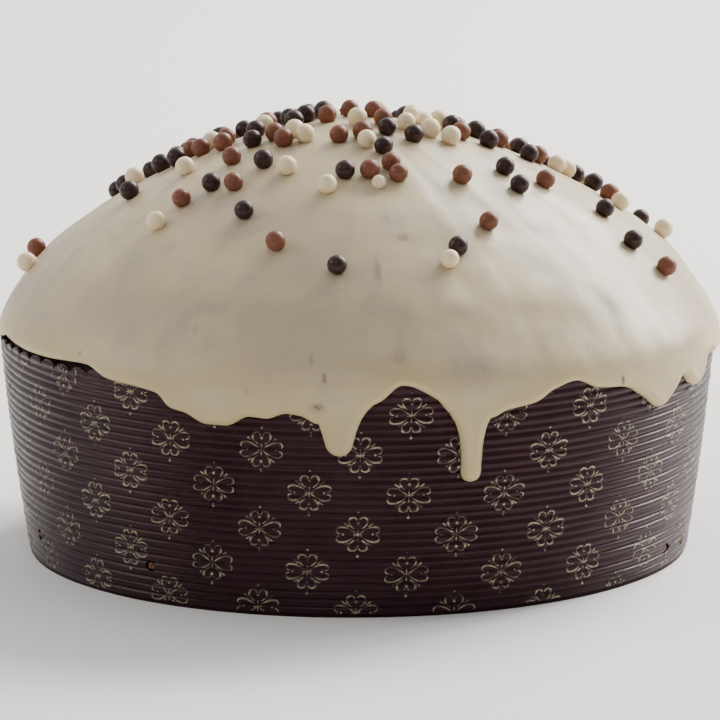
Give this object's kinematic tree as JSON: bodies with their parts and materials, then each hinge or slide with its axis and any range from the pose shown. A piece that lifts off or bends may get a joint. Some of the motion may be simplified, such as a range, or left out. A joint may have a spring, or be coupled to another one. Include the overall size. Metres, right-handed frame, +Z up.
{
  "type": "panettone",
  "caption": "Low domed panettone in a fluted paper baking mould, iced with white chocolate that runs over the rim and strewn with chocolate pearls.",
  "frame": {"origin": "centre of the mould's flat base, on the table plane", "axes": "+Z up the cake's axis, -Y towards the shown front, +X to the right seen from the front"},
  "size_m": [0.2146, 0.2147, 0.1306],
  "materials": {
    "paper_mould": "dark brown fluted paper with a light gold print, slightly glossy",
    "cake": "browned baked crust, matt",
    "icing": "set white chocolate, satin, with white, milk and dark chocolate pearls"
  },
  "bodies": {
    "root": {"paper_mould": "paper_mould", "cake": "cake", "icing": "icing"}
  },
  "joints": []
}
